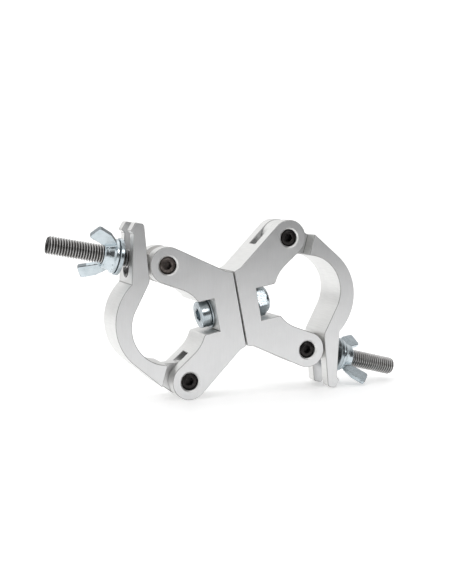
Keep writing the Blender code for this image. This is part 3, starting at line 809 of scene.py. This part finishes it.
def build_arm(side, *materials):
    bm = bmesh.new()
    add_prism(bm, arm_outline(), WIDTH / 2.0)
    obj = mesh_object(side + "_arm_fine", bm)
    dress(obj, *materials)
    boolean(obj, slot_cutter())
    bm = bmesh.new()
    add_prism(bm, tongue_outline(), TONGUE_HALF)
    boolean(obj, bm, "UNION")
    bevel(obj, EDGE_CHAMFER)
    cut_plain_hole(obj, ARM_HOLE_CUTTER_HALF, shift(PIN_X, 0.0, -PIN_Z) @ ALONG_TUBE)
    smooth(obj)
    obj.data.transform(HALF[side])
    place(obj, side + "_arm", side + "_arm")


def build_pin(side, kind, sign, material):
    """A cross pin with a hexagon socket in its near end."""
    half = WIDTH / 2.0 - PIN_INSET
    profile = raised(PIN_END, -half)
    profile += [(radius, half - depth) for radius, depth in reversed(PIN_END)]
    name = side + "_" + kind
    bm = bmesh.new()
    add_turned(bm, profile, HOLE_SEGMENTS)
    where = HALF[side] @ shift(PIN_X, 0.0, sign * PIN_Z) @ ALONG_TUBE
    obj = mesh_object(name + "_fine", bm, where)
    socket_end = half + SOCKET_OVERSHOOT
    cut_hexagon(obj, PIN_SOCKET_FLATS, half - PIN_SOCKET_DEPTH, socket_end, PIN_SOCKET_TURN)
    cut_turned(obj, raised(PIN_SOCKET_MOUTH, half), SOCKET_SEGMENTS)
    smooth(obj)
    place(obj, side + "_clamp", name, material)


# ------------------------------------------------------------ threads
def thread_radius(phase):
    """Radius along one pitch of a 60 degree thread with flat crest and root."""
    distance = abs((phase % 1.0) - 0.5) * 2.0
    slope = (distance - THREAD_CREST) / (THREAD_FLANK_END - THREAD_CREST)
    return THREAD_RADIUS - THREAD_DEPTH * min(1.0, max(0.0, slope))


def add_thread(bm, start, end):
    """A right-hand helical thread about z with open ends, chamfered towards its tip."""
    rows = THREAD_ROWS
    count = math.ceil((end - start) / THREAD_PITCH * rows) + 2 * rows
    grid = []
    for j in range(count + 1):
        row = []
        for i in range(THREAD_SEGMENTS):
            lead = i / THREAD_SEGMENTS
            angle = 2.0 * math.pi * lead
            height = start + (j / rows - 1.0 + lead) * THREAD_PITCH
            height = min(max(height, start), end)
            radius = min(thread_radius(j / rows), TIP_RADIUS + end - height) * MM
            point = (radius * math.cos(angle), radius * math.sin(angle), height * MM)
            row.append(bm.verts.new(point))
        grid.append(row)
    for j in range(count):
        for i in range(THREAD_SEGMENTS):
            k = (i + 1) % THREAD_SEGMENTS
            step = rows if k == 0 else 0
            if j + step + 1 > count:
                continue
            corners = (grid[j][i], grid[j + step][k], grid[j + step + 1][k], grid[j + 1][i])
            bm.faces.new(corners)


def thread_solid(start, end):
    bm = bmesh.new()
    add_thread(bm, start, end)
    bmesh.ops.remove_doubles(bm, verts=bm.verts, dist=WELD_METRES)
    bmesh.ops.dissolve_degenerate(bm, edges=bm.edges, dist=WELD_METRES)
    loose = [edge for edge in bm.edges if len(edge.link_faces) == 1]
    bmesh.ops.holes_fill(bm, edges=loose, sides=0)
    bmesh.ops.recalc_face_normals(bm, faces=bm.faces)
    return bm


def build_eye_bolt(side, material, forged):
    name = side + "_eye_bolt"
    where = bolt_frame(side)
    obj = mesh_object(name + "_fine", thread_solid(THREAD_START, BOLT_LENGTH), where)
    smooth(obj, THREAD_SHARP_ANGLE)
    spread = math.degrees(math.acos(NECK_HALF_WIDTH / EYE_RADIUS))
    outline = arc((0.0, 0.0), EYE_RADIUS, 180.0 - spread, 360.0 + spread)
    outline += [(sign * NECK_HALF_WIDTH, NECK_TOP) for sign in (1.0, -1.0)]
    bm = bmesh.new()
    add_prism(bm, outline, EYE_HALF)
    eye = mesh_object(name + "_eye_fine", bm, where)
    bevel(eye, EYE_CHAMFER)
    cut_plain_hole(eye, EYE_HOLE_CUTTER_HALF, ALONG_TUBE)
    smooth(eye)
    place(obj, name, name, material)
    place(eye, name, None, forged)


# ------------------------------------------------------------ nuts and washers
def ring(inner, outer, start, end, chamfer):
    return [
        (inner, start + chamfer), (inner + chamfer, start), (outer - chamfer, start),
        (outer, start + chamfer), (outer, end - chamfer), (outer - chamfer, end),
        (inner + chamfer, end), (inner, end - chamfer),
    ]


def build_washer(side, material):
    name = side + "_washer"
    bm = bmesh.new()
    add_turned(bm, ring(CLEARANCE_RADIUS, WASHER_RADIUS, 0.0, WASHER_THICKNESS, WASHER_CHAMFER))
    obj = mesh_object(name + "_fine", bm, bolt_frame(side) @ shift(0.0, 0.0, WASHER_START))
    smooth(obj)
    place(obj, name, name, material)


def wing_outline(sign):
    points = [(WING_ROOT, WING_ROOT_INSET), *WING_UNDERSIDE]
    points += rounded(WING_UNDERSIDE[-1], WING_TIP_OUTER, WING_TIP_INNER, WING_FILLET)
    points += rounded(WING_TIP_OUTER, WING_TIP_INNER, WING_NOTCH, WING_FILLET)
    points += [WING_NOTCH, (WING_ROOT, NUT_HEIGHT - WING_ROOT_INSET)]
    return [(sign * x, z) for x, z in points]


def mark_wing_rims(obj):
    """Gives the narrow faces round the wings the object's last material, which for the left nut
    is a darker zinc as painted shade.
    """
    for face in obj.data.polygons:
        if abs(face.center.x) > WING_RIM_START * MM and abs(face.normal.y) < WING_RIM_NORMAL:
            face.material_index = len(obj.data.materials) - 1


def build_wing_nut(side, *materials):
    """A cast nut: hub and wings are fused, then softened so that they run into each other."""
    name = side + "_wing_nut"
    bm = bmesh.new()
    add_turned(bm, HUB_PROFILE)
    for sign in (1.0, -1.0):
        add_prism(bm, wing_outline(sign), WING_HALF)
    where = bolt_frame(side) @ shift(0.0, 0.0, NUT_START) @ turn_z(WING_TURN[side])
    obj = mesh_object(name + "_fine", bm, where)
    remesh = obj.modifiers.new("remesh", "REMESH")
    remesh.mode = "VOXEL"
    remesh.voxel_size = CAST_VOXEL * MM
    soften = obj.modifiers.new("soften", "SMOOTH")
    soften.factor, soften.iterations = CAST_SOFTENING
    bake(obj)
    obj.data.shade_smooth()
    dress(obj, *materials)
    mark_wing_rims(obj)
    place(obj, name, name)


def build_swivel_set(plate, plastic):
    """The swivel bolt's parts from head to nut, along the swivel's axis from the seam."""
    left_floor = POCKET_FLOOR["left"] - CENTRE_TO_MATING
    right_floor = CENTRE_TO_MATING - POCKET_FLOOR["right"]
    head_washer = left_floor - (HEAD_WASHER_THICKNESS + SWIVEL_GAP)
    nut_washer = right_floor + SWIVEL_GAP
    nut_base = nut_washer + (NUT_WASHER_THICKNESS + SWIVEL_GAP)
    build_swivel_bolt(head_washer - SWIVEL_GAP, nut_base + SWIVEL_TIP_FROM_NUT_BASE, plate)
    washers = (
        ("head", head_washer, HEAD_WASHER_THICKNESS, SWIVEL_WASHER_RADIUS),
        ("nut", nut_washer, NUT_WASHER_THICKNESS, SWIVEL_WASHER_RADIUS),
        ("thrust", -THRUST_WASHER_THICKNESS / 2.0, THRUST_WASHER_THICKNESS, THRUST_WASHER_RADIUS),
    )
    for kind, start, thickness, radius in washers:
        build_swivel_washer("swivel_" + kind + "_washer", start, thickness, radius, plate)
    build_lock_nut(nut_base, plate, plastic)


def build_swivel_washer(name, start, thickness, radius, material):
    bm = bmesh.new()
    end = start + thickness
    add_turned(bm, ring(CLEARANCE_RADIUS, radius, start, end, SWIVEL_WASHER_CHAMFER))
    obj = mesh_object(name + "_fine", bm, SWIVEL)
    smooth(obj)
    place(obj, "left_clamp", name, material)


def build_swivel_bolt(head_base, tip, material):
    top = head_base - SWIVEL_HEAD_HEIGHT
    profile = raised(SWIVEL_HEAD_TOP, top) + raised(SWIVEL_HEAD_BASE, head_base)
    profile += [
        (THREAD_RADIUS, head_base), (THREAD_RADIUS, tip - SWIVEL_TIP_CHAMFER),
        (THREAD_RADIUS - SWIVEL_TIP_CHAMFER, tip), (0.0, tip),
    ]
    bm = bmesh.new()
    add_turned(bm, profile)
    obj = mesh_object("swivel_bolt_fine", bm, SWIVEL)
    start, end = (top + height for height in SWIVEL_SOCKET_SPAN)
    cut_hexagon(obj, SWIVEL_SOCKET_FLATS, start, end, SWIVEL_SOCKET_TURN)
    cut_turned(obj, raised(SWIVEL_SOCKET_MOUTH, top), SOCKET_SEGMENTS)
    smooth(obj)
    place(obj, "left_clamp", "swivel_bolt", material)


def build_lock_nut(base, material, plastic):
    """A hexagon nut with rounded corners, and a collar that holds a nylon ring."""
    top = base + LOCK_NUT_HEIGHT
    hexagon_top = top - COLLAR_HEIGHT
    seat = top - INSERT_SEAT_DEPTH
    bm = bmesh.new()
    add_hexagon(bm, LOCK_NUT_FLATS, base, hexagon_top, LOCK_NUT_TURN)
    obj = mesh_object("swivel_lock_nut_fine", bm, SWIVEL)
    bm = bmesh.new()
    add_turned(bm, raised(LOCK_NUT_BASE, base) + raised(LOCK_NUT_SHOULDER, hexagon_top))
    boolean(obj, bm, "INTERSECT")
    bm = bmesh.new()
    collar = raised(COLLAR_PROFILE, hexagon_top)
    add_turned(bm, collar + [(COLLAR_TOP_RADIUS, top), (0.0, top)])
    boolean(obj, bm, "UNION")
    cut_turned(obj, [
        (0.0, base - OVERSHOOT), (CLEARANCE_RADIUS, base - OVERSHOOT),
        (CLEARANCE_RADIUS, seat), (INSERT_SEAT_RADIUS, seat),
        (INSERT_SEAT_RADIUS, top + OVERSHOOT), (0.0, top + OVERSHOOT),
    ], TURNED_SEGMENTS)
    smooth(obj)
    place(obj, "left_clamp", "swivel_lock_nut", material)
    bm = bmesh.new()
    start, end = (seat + height for height in INSERT_SPAN)
    add_turned(bm, ring(CLEARANCE_RADIUS, INSERT_RADIUS, start, end, INSERT_CHAMFER))
    insert = mesh_object("swivel_nut_insert_fine", bm, SWIVEL)
    smooth(insert)
    place(insert, "left_clamp", "swivel_nut_insert", plastic)


# ------------------------------------------------------------ studio
def make_floor():
    """A white, faintly glowing table top that ends a little way behind the camera."""
    bm = bmesh.new()
    (left, front), (right, back) = FLOOR_BOX_METRES
    corners = ((left, front), (right, front), (right, back), (left, back))
    bm.faces.new([bm.verts.new((x, y, 0.0)) for x, y in corners])
    floor = mesh_object("floor", bm)
    n = Nodes("floor_paper")
    colour = n.mix(n.noise(scale=900.0, detail=3.0), *PAPER_TONES)
    glow = {"Emission_Color": WHITE, "Emission_Strength": FLOOR_GLOW}
    dress(floor, n.finish(colour, FLOOR_ROUGHNESS, metallic=0.0, **glow))


def make_world():
    """A studio: bright behind and straight above, dark in front, white where seen directly."""
    world = bpy.data.worlds.new("studio")
    bpy.context.scene.world = world
    world.use_nodes = True
    tree = world.node_tree
    background = tree.nodes["Background"]
    where = tree.nodes.new("ShaderNodeTexCoord")
    parts = tree.nodes.new("ShaderNodeSeparateXYZ")
    tree.links.new(where.outputs["Generated"], parts.inputs[0])
    brightest = None
    for axis, sign, ramp in (("Y", 1.0, BACK_RAMP), ("Z", 1.0, TOP_RAMP), ("X", -1.0, LEFT_RAMP)):
        made = tree.nodes.new("ShaderNodeMapRange")
        made.interpolation_type = "SMOOTHSTEP"
        towards = tree.nodes.new("ShaderNodeMath")
        towards.operation = "MULTIPLY"
        tree.links.new(parts.outputs[axis], towards.inputs[0])
        towards.inputs[1].default_value = sign
        tree.links.new(towards.outputs[0], made.inputs["Value"])
        for key, value in zip(("From Min", "From Max", "To Min", "To Max"), ramp):
            made.inputs[key].default_value = value
        total = tree.nodes.new("ShaderNodeMath")
        total.operation = "MAXIMUM"
        tree.links.new(made.outputs["Result"], total.inputs[0])
        total.inputs[1].default_value = 0.0
        if brightest:
            tree.links.new(brightest.outputs[0], total.inputs[1])
        brightest = total
    seen = tree.nodes.new("ShaderNodeLightPath")
    white = tree.nodes.new("ShaderNodeMix")
    white.data_type = "FLOAT"
    tree.links.new(seen.outputs["Is Camera Ray"], white.inputs[0])
    tree.links.new(brightest.outputs[0], white.inputs[2])
    white.inputs[3].default_value = BACKDROP_STRENGTH
    tree.links.new(white.outputs[0], background.inputs["Strength"])
    background.inputs["Color"].default_value = WHITE


def make_sun(name, direction, strength, spread):
    data = bpy.data.lights.new(name, "SUN")
    data.energy = strength
    data.angle = math.radians(spread)
    sun = bpy.data.objects.new(name, data)
    bpy.context.scene.collection.objects.link(sun)
    sun.rotation_mode = "QUATERNION"
    sun.rotation_quaternion = Vector(direction).to_track_quat("Z", "Y")


def make_studio():
    make_floor()
    make_world()
    for name, (direction, strength, spread) in SUNS.items():
        make_sun(name, direction, strength, spread)
    bpy.context.scene.view_settings.view_transform = "Standard"


# ------------------------------------------------------------ all of it
def build():
    make_camera()
    metal = aluminium("satin_aluminium")
    # rim: darker aluminium for the chamfers, painted shade along the edges.
    rim = aluminium("aluminium_rim_painted_shade", shade=RIM_PAINTED_SHADE_FACTOR)
    steel = thread_steel("thread_steel")
    forged = forged_steel("forged_steel")
    cast = zinc("zinc_cast", crests=CAST_CRESTS)
    # cast_rim: darker zinc for the left wing nut's rims, painted shade.
    cast_rim = zinc("zinc_cast_rim_painted_shade", shade=CAST_RIM_SHADE)
    plate = zinc("zinc_turned", waves=900.0, ripple=0.00009)
    black = oxide("black_oxide", OXIDE_BLACK)
    brown = oxide("brown_oxide", OXIDE_BROWN)
    plastic = nylon("nylon")
    for side in SIDES:
        build_body(side, metal, rim)
        build_arm(side, metal, rim)
        build_pin(side, "hinge_pin", -1.0, black)
        build_pin(side, "bolt_pin", 1.0, brown if side == "left" else black)
        build_eye_bolt(side, steel, forged)
        build_washer(side, plate)
        build_wing_nut(side, cast, cast_rim if side == "left" else cast)
    build_swivel_set(plate, plastic)
    make_studio()


build()
